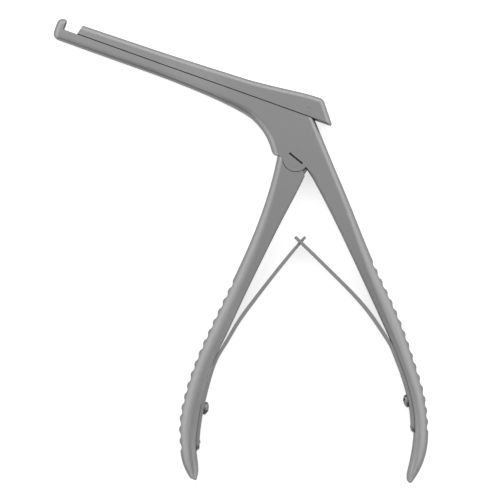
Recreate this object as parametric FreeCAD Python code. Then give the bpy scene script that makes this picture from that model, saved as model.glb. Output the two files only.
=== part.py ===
import FreeCAD, Part
import math
import os

# Bone rongeur lying on its side, bite open. Millimetres.
# Z = 0 is the face it rests on, +Z is the side with the slotted pivot screw.
# The pivot axis is X = Y = 0. +X runs along the sliding seam from the bite to the
# tail, +Y points out of the slide and the two handles hang down to -Y.

Vec = FreeCAD.Vector

# Stock
thick = 9.5                  # body and handles, measured along Z
mid = thick / 2
edge_round = 2.3             # rounding of the outer edges of the body and the handles
edge_bevel = 0.6             # bevel on the inner edges
dome_share = 0.72            # share of a grip's width that its rounding takes
dome_side = 3.2              # how far that rounding comes down the outer side
dome_fall = 0.3              # how far the cheek falls away towards the inner edge
section_step = 5.0           # spacing of the cross-sections along a handle
seam = 16.5                  # height of the sliding seam above the pivot
fit = 0.02                   # radial room round screws, pegs and pins

# Shaft and footplate
shaft_wide = 6.0
shaft_low = seam - 4.4
shaft_round = 2.2
foot_inner = -100.1          # biting face of the footplate
foot_outer = -103.3
foot_top = seam + 4.0
foot_cup_radius = 1.9
foot_cup_deep = 0.6
flare_front = -62.0          # the shaft widens to the body between these two
flare_back = -30.0
ledge = -1.2                 # the open lever's shoulder stops against this
boss_radius = 5.0

# Slide
slide_front = -94.4
slide_lean = 0.9             # the top of its biting face leans back by this
slide_gap = 0.04
top_front = seam + 4.0
top_flare = seam + 4.6
top_back = seam + 5.6
top_round = 1.9
relief_high = 0.3            # the slide's lower edges are relieved along the seam
relief_deep = 0.45
crest_rise = [(-23.0, 0.45), (-16.7, 1.1), (-10.2, 1.85), (-4.0, 2.55)]
slide_crest = [(flare_back, top_back)] + [(x, top_back + rise) for x, rise in crest_rise]
cup_radius = 2.2
cup_deep = 3.0
pocket_top = seam + 5.1

# Rail under the slide and the T-slot it runs in
rail_neck = 1.6
rail_foot = 3.0
rail_foot_high = 1.1
rail_drop = 2.5              # from the seam down to the underside of the rail's foot
rail_front = -88.4
rail_back = -16.0
rail_play = 0.05
slot_front = -94.1
slot_back = 3.0

# Drive pin, as it stands with the bite open
pin_x = -1.4
pin_y = seam + 2.5
pin_radius = 1.0
pin_play = 0.12
pin_short = 0.05             # its ground ends stay this far inside the slide
notch_lead = 0.04            # the notch sits this far ahead of the pin

# Lever tongue between the cheeks
tongue_thick = 4.0
tongue_play = 0.06
tongue_root = 4.6
tongue_tip = 2.7
tongue_long = math.hypot(pin_x, pin_y) + 1.95
boss_gap = 0.2
shoulder_turn = -40.0        # where the lever's round shoulder ends

# Pivot screw
shank_radius = 2.0
thread_radius = 1.5
head_radius = 3.2
head_rim = 0.5
pivot_play = 0.03
thread_end = 0.8             # depth of metal left under the blind thread
screw_slot = 0.7
screw_slot_deep = 1.3
screw_slot_turn = -19.6

# Grip scallops
scallops = 16
scallop_pitch = 4.37
scallop_radius = 2.5
scallop_deep = 0.62

# Leaf springs
spring_wide = 7.0
spring_thick = 1.25
spring_tip = 0.9
spring_seat = 0.07
spring_slant = 0.8           # the spring's end is ground back by this on its outer side
head_gap = 0.06
strip_narrow = 2.4           # tongue at the tip of the front spring
window_wide = 3.0            # slot near the tip of the rear spring

# Spring screws and locating pegs
button_radius = 2.45
button_high = 1.8
button_dome = 0.9            # rise of the domed top over its rim
button_slot = 0.8
stud_radius = 1.25
stud_long = 4.0
peg_radius = 0.7
peg_long = 2.2
peg_proud = 0.35

# Handle outlines, as pairs of an outer point and the inner point across from it.
rear_grip = [
    ((15.2, 1.6), (8.8, -4.8)),
    ((29.0, -13.6), (23.8, -18.8)),
    ((42.6, -28.6), (38.1, -33.1)),
    ((57.0, -43.1), (52.1, -47.4)),
    ((69.6, -58.5), (65.2, -61.6)),
    ((77.7, -70.0), (73.2, -72.7)),
    ((81.4, -77.6), (76.8, -79.9)),
    ((84.4, -87.4), (79.3, -88.5)),
    ((84.8, -92.6), (80.1, -93.1)),
    ((84.3, -97.3), (80.7, -97.7)),
    ((83.2, -101.5), (81.8, -101.6)),
]
front_grip = [
    ((-7.6, 3.0), (6.0, 3.0)),
    ((-6.05, -8.0), (5.2, -8.0)),
    ((-5.25, -24.0), (3.0, -24.0)),
    ((-6.2, -44.0), (0.6, -44.0)),
    ((-7.85, -60.0), (-1.1, -60.0)),
    ((-9.35, -75.0), (-2.5, -75.0)),
    ((-10.0, -85.0), (-3.5, -85.0)),
    ((-10.0, -93.0), (-3.1, -93.0)),
    ((-9.45, -101.0), (-2.3, -101.0)),
    ((-7.8, -110.0), (-0.65, -110.0)),
    ((-4.7, -118.0), (1.9, -118.0)),
    ((-1.35, -124.0), (4.8, -124.0)),
    ((2.9, -128.1), (5.6, -128.1)),
]
rear_first_crest = (40.6, -26.4)
front_first_crest = (-7.1, -51.5)

# Springs: the free run of each middle line from its tip, then where its root lies
# along the handle (first touch, screw, peg, end), as points near the handle.
rear_free = [(9.9, -28.2), (16.3, -31.0), (28.6, -36.7), (38.2, -41.3), (46.9, -46.3),
             (54.2, -51.6)]
rear_root = [(58.9, -54.9), (72.7, -71.9), (77.3, -81.0), (78.3, -83.3)]
front_free = [(13.5, -26.9), (11.2, -32.8), (8.7, -39.7), (5.6, -48.9), (2.65, -58.1),
              (0.15, -67.0), (-1.35, -75.0)]
front_root = [(-3.0, -80.2), (-2.15, -101.6), (0.45, -114.6), (1.65, -117.9)]


def at(x, y, z=0.0):
    return Vec(x, y, z)


def line(a, b):
    return Part.makeLine(a, b)


def curve_through(points, start=None, end=None):
    curve = Part.BSplineCurve()
    if start is None:
        curve.interpolate(Points=points)
    else:
        curve.interpolate(Points=points, InitialTangent=start, FinalTangent=end)
    return curve.toShape()


def plate(edges, low, high):
    face = Part.Face(Part.Wire(Part.sortEdges(edges)[0]))
    face.translate(at(0, 0, low))
    return face.extrude(at(0, 0, high - low))


def polygon(points, low, high):
    corners = [at(x, y) for x, y in points]
    return plate(Part.makePolygon(corners + corners[:1]).Edges, low, high)


def rod(x, y, radius, low, high):
    return Part.makeCylinder(radius, high - low, at(x, y, low))


def block(x0, x1, y0, y1, z0, z1):
    return Part.makeBox(x1 - x0, y1 - y0, z1 - z0, at(x0, y0, z0))


# The arc that rounds a corner, with the points where it leaves the two runs.
def bend(before, corner, after, radius):
    back = before - corner
    ahead = after - corner
    back.normalize()
    ahead.normalize()
    half = back.getAngle(ahead) / 2
    start = corner + back * (radius / math.tan(half))
    end = corner + ahead * (radius / math.tan(half))
    inward = back + ahead
    inward.normalize()
    middle = corner + inward * (radius / math.sin(half) - radius)
    return start, Part.Arc(start, middle, end).toShape(), end


# Edges that lie flat in one cheek and pass a test of their place.
def cheek_edges(solid, wanted):
    flat = [edge for edge in solid.Edges if edge.BoundBox.ZLength < 0.01]
    return [edge for edge in flat if wanted(edge)]


# True for a straight edge on the line from a to b.
def runs_on(edge, a, b):
    run = b - a
    run.normalize()
    ends = [at(vertex.Point.x, vertex.Point.y) - a for vertex in edge.Vertexes]
    return all((end - run * end.dot(run)).Length < 0.05 for end in ends)


# Width of the shaft and slide at a share of the flare, from 0 in front to 1 at the body.
def flare_wide(share):
    return shaft_wide + (thick - shaft_wide) * share * share * (3 - 2 * share)


# A quarter of an ellipse that rounds the corner between two runs.
def quarter(start, corner, end):
    curve = Part.BSplineCurve()
    curve.buildFromPolesMultsKnots([start, corner, end], [3, 3], [0, 1], False, 2,
                                   [1, math.sqrt(0.5), 1])
    return curve.toShape()


# Cross-section of the shaft or the slide: flat at the seam, two rounded corners at
# the far side, which lies below the seam for the shaft and above it for the slide.
# The relief takes its height and depth off the corners at the seam.
def bar_section(x, base, far, wide, rounding, relief=(0, 0)):
    way = 1 if far > base else -1
    turn = way * rounding
    high, deep = relief
    near = mid - wide / 2
    back = mid + wide / 2
    lower = base + way * high
    edges = [
        line(at(x, base, back - deep), at(x, base, near + deep)),
        line(at(x, lower, near), at(x, far - turn, near)),
        quarter(at(x, far - turn, near), at(x, far, near), at(x, far, near + rounding)),
        line(at(x, far, near + rounding), at(x, far, back - rounding)),
        quarter(at(x, far, back - rounding), at(x, far, back), at(x, far - turn, back)),
        line(at(x, far - turn, back), at(x, lower, back)),
    ]
    if high:
        edges.append(line(at(x, base, near + deep), at(x, lower, near)))
        edges.append(line(at(x, lower, back), at(x, base, back - deep)))
    return Part.Wire(Part.__sortEdges__(edges))


# The slide's lower edges, cut back along the seam between two places.
def seam_relief(front, back, wide):
    low = seam + slide_gap
    cuts = []
    for way in (-1, 1):
        cheek = mid + way * wide / 2
        corners = [at(front, low, cheek - way * relief_deep), at(front, low + relief_high, cheek),
                   at(front, low + relief_high, cheek + way), at(front, low - 1, cheek + way),
                   at(front, low - 1, cheek - way * relief_deep)]
        face = Part.Face(Part.makePolygon(corners + corners[:1]))
        cuts.append(face.extrude(at(back - front, 0)))
    return cuts


# The same outline with every arc divided into three.
def in_thirds(outline):
    edges = []
    for edge in outline.Edges:
        if edge.Curve.TypeId == "Part::GeomLine":
            edges.append(edge)
        else:
            first, last = edge.ParameterRange
            third = (last - first) / 3
            edges.extend(edge.split([first + third, last - third]).Edges)
    return Part.Wire(Part.__sortEdges__(edges))


def skin(sections):
    return Part.makeLoft([in_thirds(section) for section in sections], True, False)


# Outline of the flat end of a solid nearest a point.
def end_outline(solid, point):
    face = min(solid.Faces, key=lambda each: (each.CenterOfMass - point).Length)
    return face.OuterWire


# The widening stretch between the ends of two solids, with the heights between them.
def flare(front, back, base, fars, rounding, relief=(0, 0)):
    sections = [end_outline(front, at(flare_front, (base + fars[0]) / 2, mid))]
    for i, far in enumerate(fars):
        share = (i + 1) / (len(fars) + 1)
        x = flare_front + (flare_back - flare_front) * share
        sections.append(bar_section(x, base, far, flare_wide(share), rounding, relief))
    sections.append(end_outline(back, at(flare_back, (base + fars[-1]) / 2, mid)))
    return skin(sections)


# How far the flat handle has turned into the domed grip, from 0 to 1.
def domed(share):
    grown = min(1, max(0, (share - 0.08) / 0.45))
    return grown * grown * (3 - 2 * grown)


# Cross-section of a handle: rounded outer side, bevelled inner side, and cheeks that
# go from flat to domed along it.
def grip_section(outer, inner, share):
    across = outer - inner
    wide = across.Length
    across.normalize()
    grown = domed(share)
    flat_round = min(edge_round, 0.45 * wide)
    reach = wide - flat_round - (dome_share * wide - flat_round) * grown
    side = edge_round + (dome_side - edge_round) * grown
    fall = dome_fall * grown
    bevel = min(edge_bevel, 0.2 * wide)

    def spot(u, z):
        return inner + across * u + at(0, 0, z)

    return Part.Wire([
        line(spot(0, bevel + fall), spot(0, thick - bevel - fall)),
        line(spot(0, thick - bevel - fall), spot(bevel, thick - fall)),
        line(spot(bevel, thick - fall), spot(reach, thick)),
        quarter(spot(reach, thick), spot(wide, thick), spot(wide, thick - side)),
        line(spot(wide, thick - side), spot(wide, side)),
        quarter(spot(wide, side), spot(wide, 0), spot(reach, 0)),
        line(spot(reach, 0), spot(bevel, fall)),
        line(spot(bevel, fall), spot(0, bevel + fall)),
    ])


# The outer and the inner line of a handle, both measured along its middle line.
def grip_lines(pairs):
    lengths = [0.0]
    for (outer, inner), (next_outer, next_inner) in zip(pairs, pairs[1:]):
        step = (at(*next_outer) + at(*next_inner) - at(*outer) - at(*inner)).Length / 2
        lengths.append(lengths[-1] + step)
    lines = []
    for which in (0, 1):
        curve = Part.BSplineCurve()
        curve.interpolate(Points=[at(*pair[which]) for pair in pairs], Parameters=lengths)
        lines.append(curve)
    return lines[0], lines[1], lengths[-1]


# A handle, which may grow out of the flat end of a body.
def grip(pairs, start=None):
    outer, inner, length = grip_lines(pairs)
    steps = round(length / section_step)
    places = [length * i / steps for i in range(steps + 1)]
    sections = [grip_section(outer.value(place), inner.value(place), place / length)
                for place in places]
    if start:
        sections[0] = start
    return skin(sections)


def outer_edge(pairs):
    return grip_lines(pairs)[0].toShape()


def inner_edge(pairs):
    return grip_lines(pairs)[1].toShape()


# A point so far along a curve and so far off to the left of its run.
def beside(curve, along, off):
    where = curve.getParameterByLength(along)
    run = curve.tangentAt(where)
    return curve.valueAt(where) + at(-run.y, run.x) * off


# Length along a curve to the place nearest a point.
def length_to(curve, point):
    steps = 2000
    spans = [curve.Length * i / steps for i in range(1, steps)]
    return min(spans, key=lambda span: (beside(curve, span, 0) - at(*point)).Length)


# Round scoops between the crests, along the outer side of a handle.
def scallop_cuts(pairs, first_crest, outward):
    curve = outer_edge(pairs)
    first = length_to(curve, first_crest)
    cuts = []
    for i in range(scallops):
        centre = beside(curve, first + (i + 0.5) * scallop_pitch,
                        outward * (scallop_radius - scallop_deep))
        cuts.append(rod(centre.x, centre.y, scallop_radius, -1, thick + 1))
    return cuts


# Rail or slot of T section under the seam, larger all round by the play.
def rail(front, back, play, top):
    low = seam - rail_drop - play
    high = seam - rail_drop + rail_foot_high + play
    foot = rail_foot / 2 + play
    neck = rail_neck / 2 + play
    wide_part = block(front, back, low, high, mid - foot, mid + foot)
    return wide_part.fuse(block(front, back, low, top, mid - neck, mid + neck))


# Straight shaft with the footplate standing up at its end.
def shaft_nose():
    low_start, low_arc, low_end = bend(at(flare_front, shaft_low), at(foot_outer, shaft_low),
                                       at(foot_outer, foot_top), 2.6)
    top_start, top_arc, top_end = bend(at(foot_outer, shaft_low), at(foot_outer, foot_top),
                                       at(foot_inner, foot_top), 2.4)
    lip = at(foot_inner - 0.3, foot_top)
    tooth = at(foot_inner, foot_top - 0.5)
    solid = plate([
        line(at(flare_front, seam), at(foot_inner, seam)),
        line(at(foot_inner, seam), tooth),
        line(tooth, lip),
        line(lip, top_end),
        top_arc,
        line(top_start, low_end),
        low_arc,
        line(low_start, at(flare_front, shaft_low)),
        line(at(flare_front, shaft_low), at(flare_front, seam)),
    ], mid - shaft_wide / 2, mid + shaft_wide / 2)
    outer = cheek_edges(solid, lambda edge: edge.BoundBox.YMax < shaft_low + 0.1
                        or edge.BoundBox.XMax < lip.x + 0.01)
    return solid.makeFillet(shaft_round, outer)


# Broad body: the neck curve in front, the ledge, the boss round the pivot, the
# crotch and the straight rear edge.
def body_plate():
    neck = [(-9.4, ledge + 0.7), (-13.2, seam - 12.5), (-16.8, seam - 9.8), (-20.8, seam - 7.8),
            (-26.3, seam - 6.5), (flare_back, seam - 5.95)]
    boss_front = at(-math.sqrt(boss_radius ** 2 - ledge ** 2), ledge)
    boss_back = at(boss_radius, 0)
    boss_back = FreeCAD.Rotation(at(0, 0, 1), -21).multVec(boss_back)
    crotch = at(5.3, -2.12)
    rear_top = at(2.2, seam - 0.57)
    rear_low = at(*rear_grip[0][0])
    inner_low = at(*rear_grip[0][1])
    solid = plate([
        line(at(flare_back, seam), at(1.1, seam)),
        line(at(1.1, seam), rear_top),
        line(rear_top, rear_low),
        line(rear_low, inner_low),
        line(inner_low, crotch),
        line(crotch, boss_back),
        Part.Arc(boss_back, at(0, -boss_radius), boss_front).toShape(),
        line(boss_front, at(-8.4, ledge)),
        line(at(-8.4, ledge), at(*neck[0])),
        curve_through([at(*point) for point in neck], at(-0.6, 0.8), at(-1, 0.16)),
        line(at(*neck[-1]), at(flare_back, seam)),
    ], 0, thick)
    outer = cheek_edges(solid, lambda edge: edge.Curve.TypeId == "Part::GeomBSplineCurve"
                        or runs_on(edge, rear_top, rear_low))
    solid = solid.makeFillet(edge_round, outer)
    inner = cheek_edges(solid, lambda edge: runs_on(edge, inner_low, crotch))
    return solid.makeChamfer(edge_bevel, inner)


# Room between the cheeks for the lever's tongue over its whole swing.
def tongue_slot():
    half = tongue_thick / 2 + tongue_play
    room = [(-9.9, seam + 1), (-5.4, -1.3), (-5.4, -8.0), (6.7, -8.0), (6.7, 0.6),
            (2.0, seam), (2.0, seam + 1)]
    return polygon(room, mid - half, mid + half)


def pivot_bore():
    cone_low = thick - head_rim - (head_radius - shank_radius)
    bore = rod(0, 0, thread_radius + fit, thread_end, mid)
    bore = bore.fuse(rod(0, 0, shank_radius + fit, mid, thick))
    bore = bore.fuse(Part.makeCone(shank_radius + fit, head_radius + fit,
                                   head_radius - shank_radius, at(0, 0, cone_low)))
    return bore.fuse(rod(0, 0, head_radius + fit, thick - head_rim, thick + 1))


def fixed_shaft():
    nose = shaft_nose()
    plate_part = body_plate()
    grip_start = (at(*rear_grip[0][0]) + at(*rear_grip[0][1])) * 0.5 + at(0, 0, mid)
    body = nose.fuse([
        flare(nose, plate_part, seam, [shaft_low - 0.1, shaft_low - 0.35, shaft_low - 0.8], shaft_round),
        plate_part,
        grip(rear_grip, end_outline(plate_part, grip_start)),
    ])
    body = body.cut(scallop_cuts(rear_grip, rear_first_crest, 1))
    foot_cup = Part.makeCylinder(foot_cup_radius, foot_cup_deep + 1,
                                 at(foot_inner - foot_cup_deep, seam + 1.6, mid), at(1, 0, 0))
    return body.cut([
        foot_cup,
        rail(slot_front, slot_back, rail_play, seam + 1),
        tongue_slot(),
        pivot_bore(),
        *spring_holes(rear_grip, rear_root, -1),
    ])


# Hollow of the slide's biting end, an arch in cross-section.
def slide_cup():
    front = slide_front - 1
    back = slide_front + cup_deep
    floor = seam - 1
    centre = top_front - 0.8 - cup_radius
    arch = Part.makeCylinder(cup_radius, back - front, at(front, centre, mid), at(1, 0, 0))
    return arch.fuse(block(front, back, floor, centre, mid - cup_radius, mid + cup_radius))


def slide_front_bar():
    low = seam + slide_gap
    solid = plate([
        line(at(flare_front, low), at(slide_front, low)),
        line(at(slide_front, low), at(slide_front + slide_lean, top_front)),
        line(at(slide_front + slide_lean, top_front), at(flare_front, top_flare)),
        line(at(flare_front, top_flare), at(flare_front, low)),
    ], mid - shaft_wide / 2, mid + shaft_wide / 2)
    upper = cheek_edges(solid, lambda edge: runs_on(
        edge, at(slide_front + slide_lean, top_front), at(flare_front, top_flare)))
    return solid.makeFillet(top_round, upper).cut(seam_relief(slide_front - 1, flare_front, shaft_wide))


def slide_tail_block():
    low = seam + slide_gap
    crest = at(*slide_crest[-1])
    corner = at(2.2, top_back + 2.85)
    heel = at(8.55, seam + 0.45)
    start, arc, end = bend(crest, corner, heel, 3.0)
    solid = plate([
        line(crest, start),
        arc,
        line(end, heel),
        line(heel, at(8.4, low)),
        line(at(8.4, low), at(crest.x, low)),
        line(at(crest.x, low), crest),
    ], 0, thick)
    upper = cheek_edges(solid, lambda edge: not edge.Curve.TypeId == "Part::GeomLine"
                        or runs_on(edge, crest, corner) or runs_on(edge, corner, heel))
    return solid.makeFillet(top_round, upper).cut(seam_relief(crest.x, heel.x + 1, thick))


# The full-width stretch of the slide, rising towards the tail.
def slide_hump(tail):
    low = seam + slide_gap
    relief = (relief_high, relief_deep)
    sections = [bar_section(x, low, top, thick, top_round, relief) for x, top in slide_crest[:-1]]
    crest = slide_crest[-1]
    sections.append(end_outline(tail, at(crest[0], (low + crest[1]) / 2, mid)))
    return skin(sections)


def slide():
    low = seam + slide_gap
    bar = slide_front_bar()
    tail = slide_tail_block()
    hump = slide_hump(tail)
    body = bar.fuse([
        flare(bar, hump, low, [top_flare + 0.23, top_flare + 0.47, top_flare + 0.72], top_round,
              (relief_high, relief_deep)),
        hump,
        tail,
        rail(rail_front, rail_back, 0, low + 0.5),
    ])
    half = tongue_thick / 2 + tongue_play
    pocket = block(pin_x - 3.3, pin_x + 4.1, seam - 1, pocket_top, mid - half, mid + half)
    bore = rod(pin_x, pin_y, pin_radius + fit, -1, thick + 1)
    return body.cut([slide_cup(), pocket, bore])


# A point on the lever's tongue: out along the line from pivot to pin, then across it.
def on_tongue(out, across):
    run = at(pin_x, pin_y)
    run.normalize()
    point = run * out + at(run.y, -run.x) * across
    return point.x, point.y


# Flat tongue with its open notch for the drive pin.
def lever_tongue():
    low = mid - tongue_thick / 2
    high = mid + tongue_thick / 2
    web = polygon([
        on_tongue(0, -tongue_root), on_tongue(tongue_long - 4, -tongue_tip),
        on_tongue(tongue_long - 0.6, -tongue_tip), on_tongue(tongue_long, -tongue_tip + 0.6),
        on_tongue(tongue_long, tongue_tip - 0.6), on_tongue(tongue_long - 0.6, tongue_tip),
        on_tongue(tongue_long - 4, tongue_tip), on_tongue(0, tongue_root),
    ], low, high)
    foot = polygon([(-4.4, 0), (-4.4, -9), (3.3, -9), (4.6, -6.5), (5.75, -2.4), (0, 0)], low, high)
    half = pin_radius + pin_play
    floor = tongue_long - 3.4
    notch = polygon([
        on_tongue(floor, -half - notch_lead), on_tongue(tongue_long + 1, -half - notch_lead),
        on_tongue(tongue_long + 1, half - notch_lead), on_tongue(floor, half - notch_lead),
    ], low - 1, high + 1)
    return web.fuse([foot, rod(0, 0, tongue_root, low, high)]).cut(notch)


# Everything the lever must leave free for the body's boss, ledge and crotch.
def lever_room():
    stop = ledge - 0.02
    reach = boss_radius + boss_gap
    shoulder = FreeCAD.Rotation(at(0, 0, 1), shoulder_turn).multVec(at(reach, 0))
    room = polygon([(-20, stop), (0, stop), (shoulder.x, shoulder.y), (7.2, -7.5),
                    (20, -7.5), (20, 20), (-20, 20)], -1, thick + 1)
    return room.fuse(rod(0, 0, reach, -1, thick + 1))


def lever():
    handle = grip(front_grip).cut(scallop_cuts(front_grip, front_first_crest, -1))
    handle = handle.cut(lever_room())
    bore = rod(0, 0, shank_radius + pivot_play, -1, thick + 1)
    return handle.fuse(lever_tongue()).cut([bore, *spring_holes(front_grip, front_root, 1)])


def pivot_screw():
    shoulder = mid - tongue_thick / 2 - tongue_play + 0.01
    cone_low = thick - head_rim - (head_radius - shank_radius)
    screw = rod(0, 0, thread_radius, thread_end + 0.2, shoulder)
    screw = screw.fuse(rod(0, 0, shank_radius, shoulder, cone_low))
    screw = screw.fuse(Part.makeCone(shank_radius, head_radius, head_radius - shank_radius,
                                     at(0, 0, cone_low)))
    screw = screw.fuse(rod(0, 0, head_radius, thick - head_rim, thick))
    slot = block(-head_radius - 1, head_radius + 1, -screw_slot / 2, screw_slot / 2,
                 thick - screw_slot_deep, thick + 1)
    slot.rotate(at(0, 0), at(0, 0, 1), screw_slot_turn)
    return screw.cut(slot)


def drive_pin():
    return rod(pin_x, pin_y, pin_radius, pin_short, thick - pin_short)


# Place and direction of a screw or peg: on the handle's inner side, pointing off it.
def seat_on(pairs, point, side):
    curve = inner_edge(pairs)
    along = length_to(curve, point)
    spot = beside(curve, along, 0)
    away = beside(curve, along, side) - spot
    return spot + at(0, 0, mid), away


def bore_in(pairs, point, side, radius, low, high):
    spot, away = seat_on(pairs, point, side)
    return Part.makeCylinder(radius, high - low, spot + away * low, away)


def spring_holes(pairs, root, side):
    return [
        bore_in(pairs, root[1], side, stud_radius + fit, -stud_long - 0.2, 3),
        bore_in(pairs, root[2], side, peg_radius + fit, -peg_long - 0.1, 3),
    ]


# Bent strip whose middle line runs from the tip to the root and then along the handle.
def leaf_spring(pairs, free, root, side):
    edge = inner_edge(pairs)
    first = length_to(edge, root[0])
    last = length_to(edge, root[3])
    lift = side * (spring_seat + spring_thick / 2)
    laid = [beside(edge, first + (last - first) * i / 7, lift) for i in range(8)]
    points = [at(*point) for point in free] + laid
    middle = Part.BSplineCurve()
    middle.interpolate(Points=points)
    left = []
    right = []
    for i, point in enumerate(points):
        run = middle.tangent(middle.parameter(point))[0]
        share = min(1, i / (len(free) - 1))
        half = (spring_tip + (spring_thick - spring_tip) * share) / 2
        left.append(point + at(-run.y, run.x) * half)
        right.append(point - at(-run.y, run.x) * half)
    outer = left if side > 0 else right
    outer[-1] -= run * spring_slant
    strip = plate([
        curve_through(left), line(left[-1], right[-1]),
        curve_through(right), line(left[0], right[0]),
    ], mid - spring_wide / 2, mid + spring_wide / 2)
    end = (left[-1] + right[-1]) * 0.5
    corners = [e for e in strip.Edges if e.Length < 2 and e.BoundBox.ZLength < 0.01
               and (at(e.CenterOfMass.x, e.CenterOfMass.y) - end).Length < 0.5]
    return strip.makeFillet(1.8, corners).cut(spring_holes(pairs, root, side))


# Front spring: its tip narrows to a tongue.
def front_spring():
    strip = leaf_spring(front_grip, front_free, front_root, 1)
    low = mid - strip_narrow / 2
    high = mid + strip_narrow / 2
    tip_from = -32.0
    return strip.cut([block(8, 18, tip_from, -20, -1, low), block(8, 18, tip_from, -20, high, thick + 1)])


# Rear spring: a window near its tip lets the other spring's tongue through.
def rear_spring():
    strip = leaf_spring(rear_grip, rear_free, rear_root, -1)
    half = window_wide / 2
    return strip.cut(block(11.3, 14.7, -34, -24, mid - half, mid + half))


# Slotted button screw: head on the spring, stud through it into the handle.
def spring_screw(pairs, root, side, slot_turn):
    under = spring_seat + spring_thick + head_gap
    top = under + button_high
    dome_radius = (button_radius ** 2 + button_dome ** 2) / (2 * button_dome)
    head = rod(0, 0, button_radius, under, top + 1)
    head = head.common(Part.makeSphere(dome_radius, at(0, 0, top - dome_radius)))
    slot = block(-5, 5, -button_slot / 2, button_slot / 2, top - 0.8, top + 1)
    slot.rotate(at(0, 0), at(0, 0, 1), slot_turn)
    screw = head.fuse(Part.makeCylinder(stud_radius, stud_long + under, at(0, 0, -stud_long))).cut(slot)
    spot, away = seat_on(pairs, root[1], side)
    screw.Placement = FreeCAD.Placement(spot, FreeCAD.Rotation(at(0, 0, 1), away))
    return screw


# Locating peg through the end of a spring, with a bevelled end.
def spring_peg(pairs, root, side):
    tall = peg_long + spring_seat + spring_thick + peg_proud
    peg = Part.makeCylinder(peg_radius, tall, at(0, 0, -peg_long))
    rim = [e for e in peg.Edges if e.BoundBox.ZMin > tall - peg_long - 0.01]
    peg = peg.makeChamfer(0.25, rim)
    spot, away = seat_on(pairs, root[2], side)
    peg.Placement = FreeCAD.Placement(spot, FreeCAD.Rotation(at(0, 0, 1), away))
    return peg


pieces = {
    "fixed_shaft": fixed_shaft(),
    "slide": slide(),
    "lever": lever(),
    "pivot_screw": pivot_screw(),
    "drive_pin": drive_pin(),
    "front_spring": front_spring(),
    "rear_spring": rear_spring(),
    "front_spring_screw": spring_screw(front_grip, front_root, 1, 35),
    "rear_spring_screw": spring_screw(rear_grip, rear_root, -1, 60),
    "front_spring_peg": spring_peg(front_grip, front_root, 1),
    "rear_spring_peg": spring_peg(rear_grip, rear_root, -1),
}

os.makedirs("parts", exist_ok=True)
for name, shape in pieces.items():
    solids = shape.Solids
    print(name, len(solids), "solid", round(shape.Volume, 1), "mm3", shape.isValid())
    whole = solids[0] if len(solids) == 1 else shape
    whole.exportStep("parts/" + name + ".step")
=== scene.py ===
import bpy
import bmesh
import math
import numpy as np
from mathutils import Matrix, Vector


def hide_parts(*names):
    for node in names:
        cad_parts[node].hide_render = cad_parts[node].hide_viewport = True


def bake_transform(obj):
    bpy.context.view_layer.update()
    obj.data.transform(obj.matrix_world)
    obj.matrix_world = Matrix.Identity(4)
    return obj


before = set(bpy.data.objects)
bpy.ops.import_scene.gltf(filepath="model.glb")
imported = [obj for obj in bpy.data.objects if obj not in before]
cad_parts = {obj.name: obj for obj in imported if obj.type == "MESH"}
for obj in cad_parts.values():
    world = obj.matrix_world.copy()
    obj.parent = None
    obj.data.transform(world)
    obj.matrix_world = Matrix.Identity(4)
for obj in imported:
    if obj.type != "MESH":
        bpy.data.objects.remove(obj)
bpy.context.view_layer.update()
print("frame loaded:", len(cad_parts), "nodes")

mm = 0.001  # a millimetre in metres
white = "#FFFFFF"
black = "#000000"


# sRGB hex to linear light: each channel over 255, then the sRGB curve.
def linearColour(hexCode):
    channels = [int(hexCode[i:i + 2], 16) / 255 for i in (1, 3, 5)]
    return [c / 12.92 if c <= 0.04045 else ((c + 0.055) / 1.055) ** 2.4 for c in channels] + [1.0]


# A point in metres from its three distances in millimetres.
def pointAt(x, y, z):
    return Vector((x * mm, y * mm, z * mm))


# Adds a node, sets its sockets or properties, and links the sockets named in links.
def addNode(tree, kind, settings=None, links=None):
    node = tree.nodes.new(kind)
    for name, value in (settings or {}).items():
        if name in node.inputs:
            node.inputs[name].default_value = value
        else:
            setattr(node, name, value)
    for name, source in (links or {}).items():
        tree.links.new(source, node.inputs[name])
    return node


# A new material and its node tree, emptied of the nodes that Blender starts it with.
def newTree(name):
    material = bpy.data.materials.new(name)
    material.use_nodes = True
    material.node_tree.nodes.clear()
    return material, material.node_tree


# Steel finishes. Grain, depth, mottle and edge are in millimetres. The real grain is a few
# hundredths of a millimetre, too fine to show, so it is drawn coarser.
finishes = {
    # Stainless steel blasted with fine glass beads: dull, even grey, wide soft highlights.
    "beadBlastedSteel": {"colour": "#A6A6A6", "roughness": 0.40, "grain": 0.25, "depth": 0.004,
                         "mottle": 3.0, "edge": 0.12},
    # Spring strip ground along its length: a little brighter and smoother.
    "groundSpringSteel": {"colour": "#ACACAC", "roughness": 0.36, "grain": 0.2, "depth": 0.003,
                          "mottle": 4.0, "edge": 0.08},
    # Turned screws and pegs: a shade darker, with a soft highlight on their domed heads.
    "turnedSteel": {"colour": "#A4A4A4", "roughness": 0.38, "grain": 0.15, "depth": 0.002,
                    "mottle": 2.0, "edge": 0.08},
}

# What all three share: how far the roughness strays in its patches, how strongly the grain
# is felt, how finely the two noises are drawn, and how many samples the edge takes.
steelDetail = {"stray": 0.04, "bump": 0.5, "mottleDetail": 4.0, "grainDetail": 2.0,
               "edgeSamples": 4}

# Painted shade: the base colour is darkened deep in slots and seams and between parts, where shade
# falls.
# The reach is in millimetres, and a place less open than "from" has the dark colour, one more open
# than "to" has none.
paintedCreviceShade = {"reach": 1.2, "colour": "#3C3C3C", "from": 0.35, "to": 0.75, "samples": 8}

# The numbers of a Mix node's sockets when it mixes colours.
colourMix = {"share": 0, "first": 6, "second": 7, "result": 2}
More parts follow.
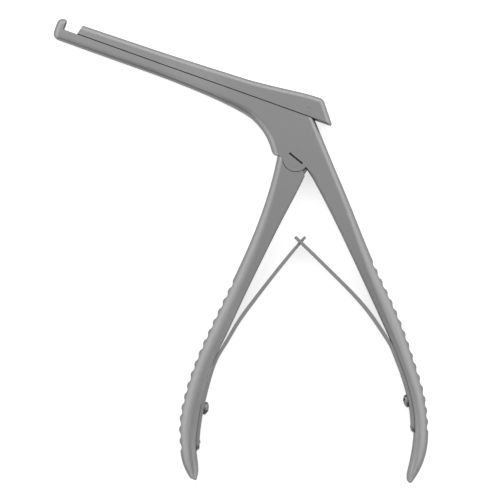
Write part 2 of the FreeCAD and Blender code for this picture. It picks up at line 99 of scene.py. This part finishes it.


# Metal with a fine blasted grain in its bump, patches of slightly different roughness,
# painted shade in its crevices, and edges that catch the light as slightly rounded ones do.
def steelMaterial(name):
    finish = finishes[name]
    material, tree = newTree(name)
    place = addNode(tree, "ShaderNodeTexCoord").outputs["Object"]
    mottle = addNode(tree, "ShaderNodeTexNoise",
                     {"Scale": 1 / (finish["mottle"] * mm), "Detail": steelDetail["mottleDetail"]},
                     {"Vector": place})
    grain = addNode(tree, "ShaderNodeTexNoise",
                    {"Scale": 1 / (finish["grain"] * mm), "Detail": steelDetail["grainDetail"]},
                    {"Vector": place})
    rough = addNode(tree, "ShaderNodeMapRange",
                    {"To Min": finish["roughness"] - steelDetail["stray"],
                     "To Max": finish["roughness"] + steelDetail["stray"]},
                    {"Value": mottle.outputs["Fac"]})
    softEdge = addNode(tree, "ShaderNodeBevel",
                       {"samples": steelDetail["edgeSamples"], "Radius": finish["edge"] * mm})
    bump = addNode(tree, "ShaderNodeBump",
                   {"Strength": steelDetail["bump"], "Distance": finish["depth"] * mm},
                   {"Height": grain.outputs["Fac"], "Normal": softEdge.outputs["Normal"]})
    # Painted shade: ambient occlusion darkens the base colour where the surface is hemmed in, in
    # slots, seams and gaps between parts.
    around = addNode(tree, "ShaderNodeAmbientOcclusion",
                     {"samples": paintedCreviceShade["samples"], "Distance": paintedCreviceShade["reach"] * mm})
    openness = addNode(tree, "ShaderNodeMapRange",
                       {"From Min": paintedCreviceShade["from"], "From Max": paintedCreviceShade["to"]},
                       {"Value": around.outputs["AO"]})
    colourWithPaintedShade = addNode(tree, "ShaderNodeMix", {"data_type": "RGBA"})
    colourWithPaintedShade.inputs[colourMix["first"]].default_value = linearColour(paintedCreviceShade["colour"])
    colourWithPaintedShade.inputs[colourMix["second"]].default_value = linearColour(finish["colour"])
    tree.links.new(openness.outputs["Result"], colourWithPaintedShade.inputs[colourMix["share"]])
    shader = addNode(tree, "ShaderNodeBsdfPrincipled", {"Metallic": 1.0},
                     {"Base Color": colourWithPaintedShade.outputs[colourMix["result"]],
                      "Roughness": rough.outputs["Result"], "Normal": bump.outputs["Normal"]})
    addNode(tree, "ShaderNodeOutputMaterial", None, {"Surface": shader.outputs["BSDF"]})
    return material


steels = {name: steelMaterial(name) for name in finishes}

# Which finish each CAD node has.
nodeFinish = {
    "fixed_shaft": "beadBlastedSteel",
    "slide": "beadBlastedSteel",
    "lever": "beadBlastedSteel",
    "pivot_screw": "beadBlastedSteel",
    "drive_pin": "beadBlastedSteel",
    "front_spring": "groundSpringSteel",
    "rear_spring": "groundSpringSteel",
    "front_spring_screw": "turnedSteel",
    "rear_spring_screw": "turnedSteel",
    "front_spring_peg": "turnedSteel",
    "rear_spring_peg": "turnedSteel",
}
for node, finish in nodeFinish.items():
    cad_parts[node].data.materials[0] = steels[finish]
print("materials set:", len(steels), "finishes")


# The two leaf springs, in millimetres: where the bend starts and ends, the rounding of
# the edges, the run from the handle to the tip and the swell of its blade.
springs = {
    "frontSpring": {"node": "front_spring", "start": (27.5, 16.0), "end": (-1.5, -72.0),
                    "edge": 0.12, "root": (-3.0, -80.2), "tip": (13.5, -26.9), "swell": 0.12},
    "rearSpring": {"node": "rear_spring", "start": (57.0, -57.0), "end": (-32.0, 1.0),
                   "edge": 0.12, "root": (58.9, -54.9), "tip": (9.9, -28.2), "swell": 0.12},
}

# What both share: the height of the bend's line and how near two points are merged, in
# millimetres, the steps in a rounded edge, the angle in degrees past which an edge is
# rounded, and how many times sooner than its tip a blade has its whole swell.
springDetail = {"height": 4.75, "merge": 0.001, "edgeSteps": 2, "edgeAngle": 40, "sooner": 3}
shortest = 1e-6  # keeps a normal that points straight up from a division by zero


# Blade swell: each point moves out along its normal's X and Y, by a share that grows
# from 0 where the blade leaves the handle to 1 at a third of the way to its tip.
def swellBlade(mesh, spring):
    count = len(mesh.vertices)
    places = np.empty(count * 3)
    normals = np.empty(count * 3)
    mesh.vertices.foreach_get("co", places)
    mesh.vertices.foreach_get("normal", normals)
    places = places.reshape(-1, 3)
    outward = normals.reshape(-1, 3)[:, :2]
    outward /= np.maximum(np.linalg.norm(outward, axis=1, keepdims=True), shortest)
    root = np.array(spring["root"]) * mm
    run = np.array(spring["tip"]) * mm - root
    share = np.clip((places[:, :2] - root) @ run / (run @ run) * springDetail["sooner"], 0, 1)
    places[:, :2] += outward * share[:, None] * spring["swell"] * mm
    mesh.vertices.foreach_set("co", places.ravel())
    mesh.update()


# A leaf spring: a merged copy of the node's mesh, swollen along its blade, with its edges
# rounded, which takes the node's place.
def bendingSpring(name):
    spring = springs[name]
    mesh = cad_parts[spring["node"]].data.copy()
    shape = bmesh.new()
    shape.from_mesh(mesh)
    bmesh.ops.remove_doubles(shape, verts=shape.verts, dist=springDetail["merge"] * mm)
    shape.to_mesh(mesh)
    shape.free()
    swellBlade(mesh, spring)
    piece = bpy.data.objects.new(name, mesh)
    bpy.context.scene.collection.objects.link(piece)
    rounding = piece.modifiers.new("roundedEdges", "BEVEL")
    rounding.width = spring["edge"] * mm
    rounding.segments = springDetail["edgeSteps"]
    rounding.limit_method = "ANGLE"
    rounding.angle_limit = math.radians(springDetail["edgeAngle"])
    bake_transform(piece)
    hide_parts(spring["node"])


for name in springs:
    bendingSpring(name)
print("springs made:", len(springs))


# The picture: how many degrees the instrument is turned in it, the point at its middle,
# the millimetres that a pixel covers and how many pixels it is wide.
picture = {"turn": 19.69, "middle": (-4.68, -38.68), "pixel": 0.38, "pixels": 500}

# The camera: its distance above the instrument's upper face, the height of that face and
# the width of its sensor in millimetres, and how near and how far it sees in metres.
lookout = {"distance": 850.0, "face": 9.5, "sensor": 36, "near": 0.05, "far": 10}


# A camera straight above the middle of the picture. Its lens is the sensor's width times
# the distance, over the width that the picture covers.
def lookDown():
    data = bpy.data.cameras.new("camera")
    data.sensor_width = lookout["sensor"]
    data.lens = lookout["sensor"] * lookout["distance"] / (picture["pixel"] * picture["pixels"])
    data.clip_start = lookout["near"]
    data.clip_end = lookout["far"]
    camera = bpy.data.objects.new("camera", data)
    camera.location = pointAt(*picture["middle"], lookout["face"] + lookout["distance"])
    camera.rotation_euler = (0, 0, math.radians(picture["turn"]))
    bpy.context.scene.collection.objects.link(camera)
    bpy.context.scene.camera = camera


lookDown()
print("camera placed")


# A tent of softboxes, open towards the bottom of the picture. Places are as the camera
# sees them: to the right, up the picture and above the floor, all in metres. Power is in
# watts.
softboxes = {
    "overhead": {"at": (0.0, 0.05, 0.9), "aim": (0.0, 0.05, 0.0), "size": (0.6, 0.6),
                 "power": 0.48},
    "left": {"at": (-0.27, 0.05, 0.27), "aim": (0.0, 0.05, 0.2), "size": (0.6, 0.48),
             "power": 0.95},
    "right": {"at": (0.27, 0.05, 0.27), "aim": (0.0, 0.05, 0.2), "size": (0.6, 0.48),
              "power": 0.95},
    "top": {"at": (0.0, 0.29, 0.27), "aim": (0.0, 0.0, 0.2), "size": (0.5, 0.48),
            "power": 0.85},
}


# A place as the camera sees it, in the model's own axes: the steps right and up are turned
# as the picture is, and counted from its middle.
def fromPicture(right, up, height):
    turn = math.radians(picture["turn"])
    x = picture["middle"][0] * mm + right * math.cos(turn) - up * math.sin(turn)
    y = picture["middle"][1] * mm + right * math.sin(turn) + up * math.cos(turn)
    return Vector((x, y, height))


# A flat rectangular lamp at its place, turned so that it shines towards its aim.
def addSoftbox(name):
    box = softboxes[name]
    data = bpy.data.lights.new(name, "AREA")
    data.shape = "RECTANGLE"
    data.size, data.size_y = box["size"]
    data.energy = box["power"]
    lamp = bpy.data.objects.new(name, data)
    lamp.location = fromPicture(*box["at"])
    lamp.visible_camera = False
    aim = fromPicture(*box["aim"]) - lamp.location
    lamp.rotation_euler = aim.to_track_quat("-Z", "Y").to_euler()
    bpy.context.scene.collection.objects.link(lamp)


for name in softboxes:
    addSoftbox(name)
print("softboxes placed:", len(softboxes))


# Plain pale paper that keeps the shadow. Its glow makes it white to the camera, and the
# metal sees a share of that glow. Half its width is in metres, and its drop below the
# instrument in millimetres.
floorLook = {"colour": "#E0E0E0", "glow": 0.7, "inMetal": 0.12, "half": 1.5, "drop": 0.02}


# A square sheet that shows its own paper plus the glow. A ray from the camera sees the
# whole glow, one off the metal its share, and any other none.
def addFloor():
    half = floorLook["half"]
    mesh = bpy.data.meshes.new("floor")
    mesh.from_pydata([(-half, -half, 0), (half, -half, 0), (half, half, 0), (-half, half, 0)],
                     [], [(0, 1, 2, 3)])
    floor = bpy.data.objects.new("floor", mesh)
    floor.location = (0, 0, -floorLook["drop"] * mm)
    bpy.context.scene.collection.objects.link(floor)
    material, tree = newTree("paperFloor")
    paper = addNode(tree, "ShaderNodeBsdfDiffuse", {"Color": linearColour(floorLook["colour"])})
    rays = addNode(tree, "ShaderNodeLightPath")
    glow = addNode(tree, "ShaderNodeEmission",
                   {"Color": linearColour(white), "Strength": floorLook["glow"]})
    dark = addNode(tree, "ShaderNodeBsdfTransparent", {"Color": linearColour(black)})
    seen = addNode(tree, "ShaderNodeMath", {"operation": "MULTIPLY_ADD"})
    tree.links.new(rays.outputs["Is Glossy Ray"], seen.inputs[0])
    seen.inputs[1].default_value = floorLook["inMetal"]
    tree.links.new(rays.outputs["Is Camera Ray"], seen.inputs[2])
    shown = addNode(tree, "ShaderNodeMixShader", None, {"Fac": seen.outputs["Value"]})
    tree.links.new(dark.outputs["BSDF"], shown.inputs[1])
    tree.links.new(glow.outputs["Emission"], shown.inputs[2])
    both = addNode(tree, "ShaderNodeAddShader")
    tree.links.new(paper.outputs["BSDF"], both.inputs[0])
    tree.links.new(shown.outputs["Shader"], both.inputs[1])
    addNode(tree, "ShaderNodeOutputMaterial", None, {"Surface": both.outputs["Shader"]})
    mesh.materials.append(material)


addFloor()
print("floor laid")


# The room: a faint white light from all round.
room = {"colour": white, "strength": 0.15}

world = bpy.data.worlds.new("studio")
world.use_nodes = True
background = world.node_tree.nodes["Background"]
background.inputs["Color"].default_value = linearColour(room["colour"])
background.inputs["Strength"].default_value = room["strength"]
bpy.context.scene.world = world
bpy.context.scene.view_settings.view_transform = "Standard"
print("studio ready")
